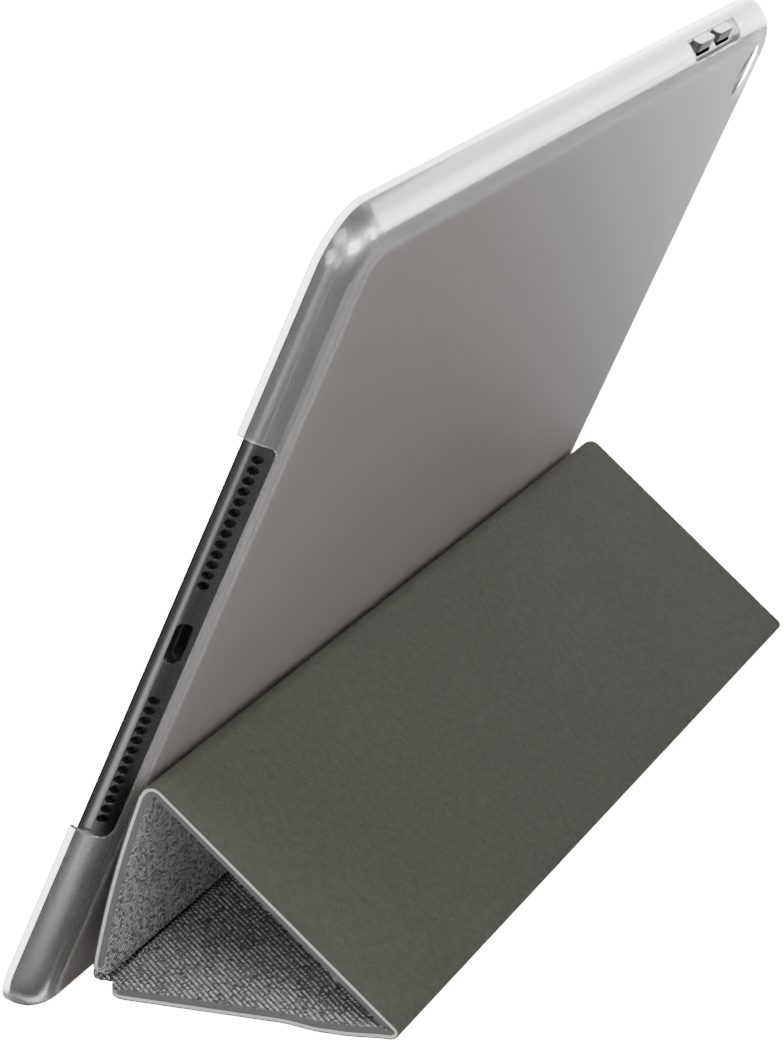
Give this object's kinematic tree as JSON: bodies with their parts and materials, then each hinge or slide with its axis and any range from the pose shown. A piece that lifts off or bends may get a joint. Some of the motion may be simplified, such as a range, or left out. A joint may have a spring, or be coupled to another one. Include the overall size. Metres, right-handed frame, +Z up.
{
  "type": "tablet folio case",
  "caption": "Clear hard tablet shell with a folding suede and fabric cover, folded into a prism stand behind the tablet it holds.",
  "frame": {"origin": "on the floor under the middle of the stand's bounding box", "axes": "+X along the tablet's long side towards its charging port, +Y behind the screen towards the stand, +Z up"},
  "size_m": [0.2424, 0.0954, 0.1487],
  "materials": {
    "clear_plastic": "clear moulded plastic, frosted on its back",
    "suede": "olive-grey microfibre suede",
    "fabric": "grey melange woven fabric",
    "board": "light grey stiff board, seen along the cut edges",
    "grey_metal": "dark grey anodised aluminium",
    "magnet_metal": "plated metal",
    "black_glass": "black glass",
    "display": "dark display film",
    "battery_foil": "black battery wrap",
    "circuit_board": "green circuit board",
    "black_plastic": "black plastic"
  },
  "bodies": {
    "case": {"clear_shell": "clear_plastic", "flap_fabric": "fabric", "flap_suede": "suede", "tablet_housing": "grey_metal", "display_glass": "black_glass", "display_panel": "display", "battery_cell_far": "battery_foil", "battery_cell_middle": "battery_foil", "battery_cell_near": "battery_foil", "logic_board": "circuit_board", "upper_speaker": "black_plastic", "lower_speaker": "black_plastic", "charge_port": "magnet_metal", "headphone_jack": "black_plastic", "microphone": "black_plastic", "rear_camera": "black_plastic", "camera_lens": "black_glass", "front_camera": "black_plastic"},
    "edge_strip": {"edge_strip_fabric": "fabric", "edge_strip_suede": "suede"},
    "spine_strip": {"spine_strip_fabric": "fabric", "spine_strip_suede": "suede"},
    "base_panel": {"base_fabric": "fabric", "base_board": "board", "base_suede": "suede", "base_magnet_far": "magnet_metal", "base_magnet_near": "magnet_metal"},
    "rear_panel": {"rear_fabric": "fabric", "rear_board": "board", "rear_suede": "suede", "wake_magnet": "magnet_metal"},
    "free_panel": {"free_fabric": "fabric", "free_board": "board", "free_suede": "suede", "free_magnet_far": "magnet_metal", "free_magnet_near": "magnet_metal"},
    "home_key": {"home_button": "black_glass"},
    "power_key": {"power_button": "grey_metal"},
    "volume_up_key": {"volume_up_button": "grey_metal"},
    "volume_down_key": {"volume_down_button": "grey_metal"}
  },
  "joints": [
    {"name": "edge_fold", "type": "hinge", "parent": "case", "child": "edge_strip", "pos_m": [0, -0.03785, 0.00104], "axis": [-1, 0, 0], "range_deg": [0, 131.3]},
    {"name": "spine_fold", "type": "hinge", "parent": "edge_strip", "child": "spine_strip", "pos_m": [0, -0.03246, 0.00062], "axis": [-1, 0, 0], "range_deg": [0, 124.1]},
    {"name": "base_fold", "type": "hinge", "parent": "spine_strip", "child": "base_panel", "pos_m": [0, -0.0255, 0.00722], "axis": [-1, 0, 0], "range_deg": [0, 40.7]},
    {"name": "rear_fold", "type": "hinge", "parent": "base_panel", "child": "rear_panel", "pos_m": [0, 0.03248, 0.00113], "axis": [-1, 0, 0], "range_deg": [0, 138.1]},
    {"name": "free_fold", "type": "hinge", "parent": "rear_panel", "child": "free_panel", "pos_m": [0, -0.00895, 0.04698], "axis": [-1, 0, 0], "range_deg": [0, 113.9]},
    {"name": "home_press", "type": "slide", "parent": "case", "child": "home_key", "axis": [0, 0.8513, -0.5247], "range_m": [0, 0.0003], "stiffness_N_per_m": 400},
    {"name": "power_press", "type": "slide", "parent": "case", "child": "power_key", "axis": [1, 0, 0], "range_m": [0, 0.00035], "stiffness_N_per_m": 400},
    {"name": "volume_up_press", "type": "slide", "parent": "case", "child": "volume_up_key", "axis": [0, -0.5247, -0.8513], "range_m": [0, 0.00035], "stiffness_N_per_m": 400},
    {"name": "volume_down_press", "type": "slide", "parent": "case", "child": "volume_down_key", "axis": [0, -0.5247, -0.8513], "range_m": [0, 0.00035], "stiffness_N_per_m": 400}
  ],
  "couplings": [
    {"joint": "edge_fold", "follows": "free_fold", "ratio": 1.1518},
    {"joint": "spine_fold", "follows": "free_fold", "ratio": 1.0884},
    {"joint": "base_fold", "follows": "free_fold", "ratio": 0.3556}
  ]
}
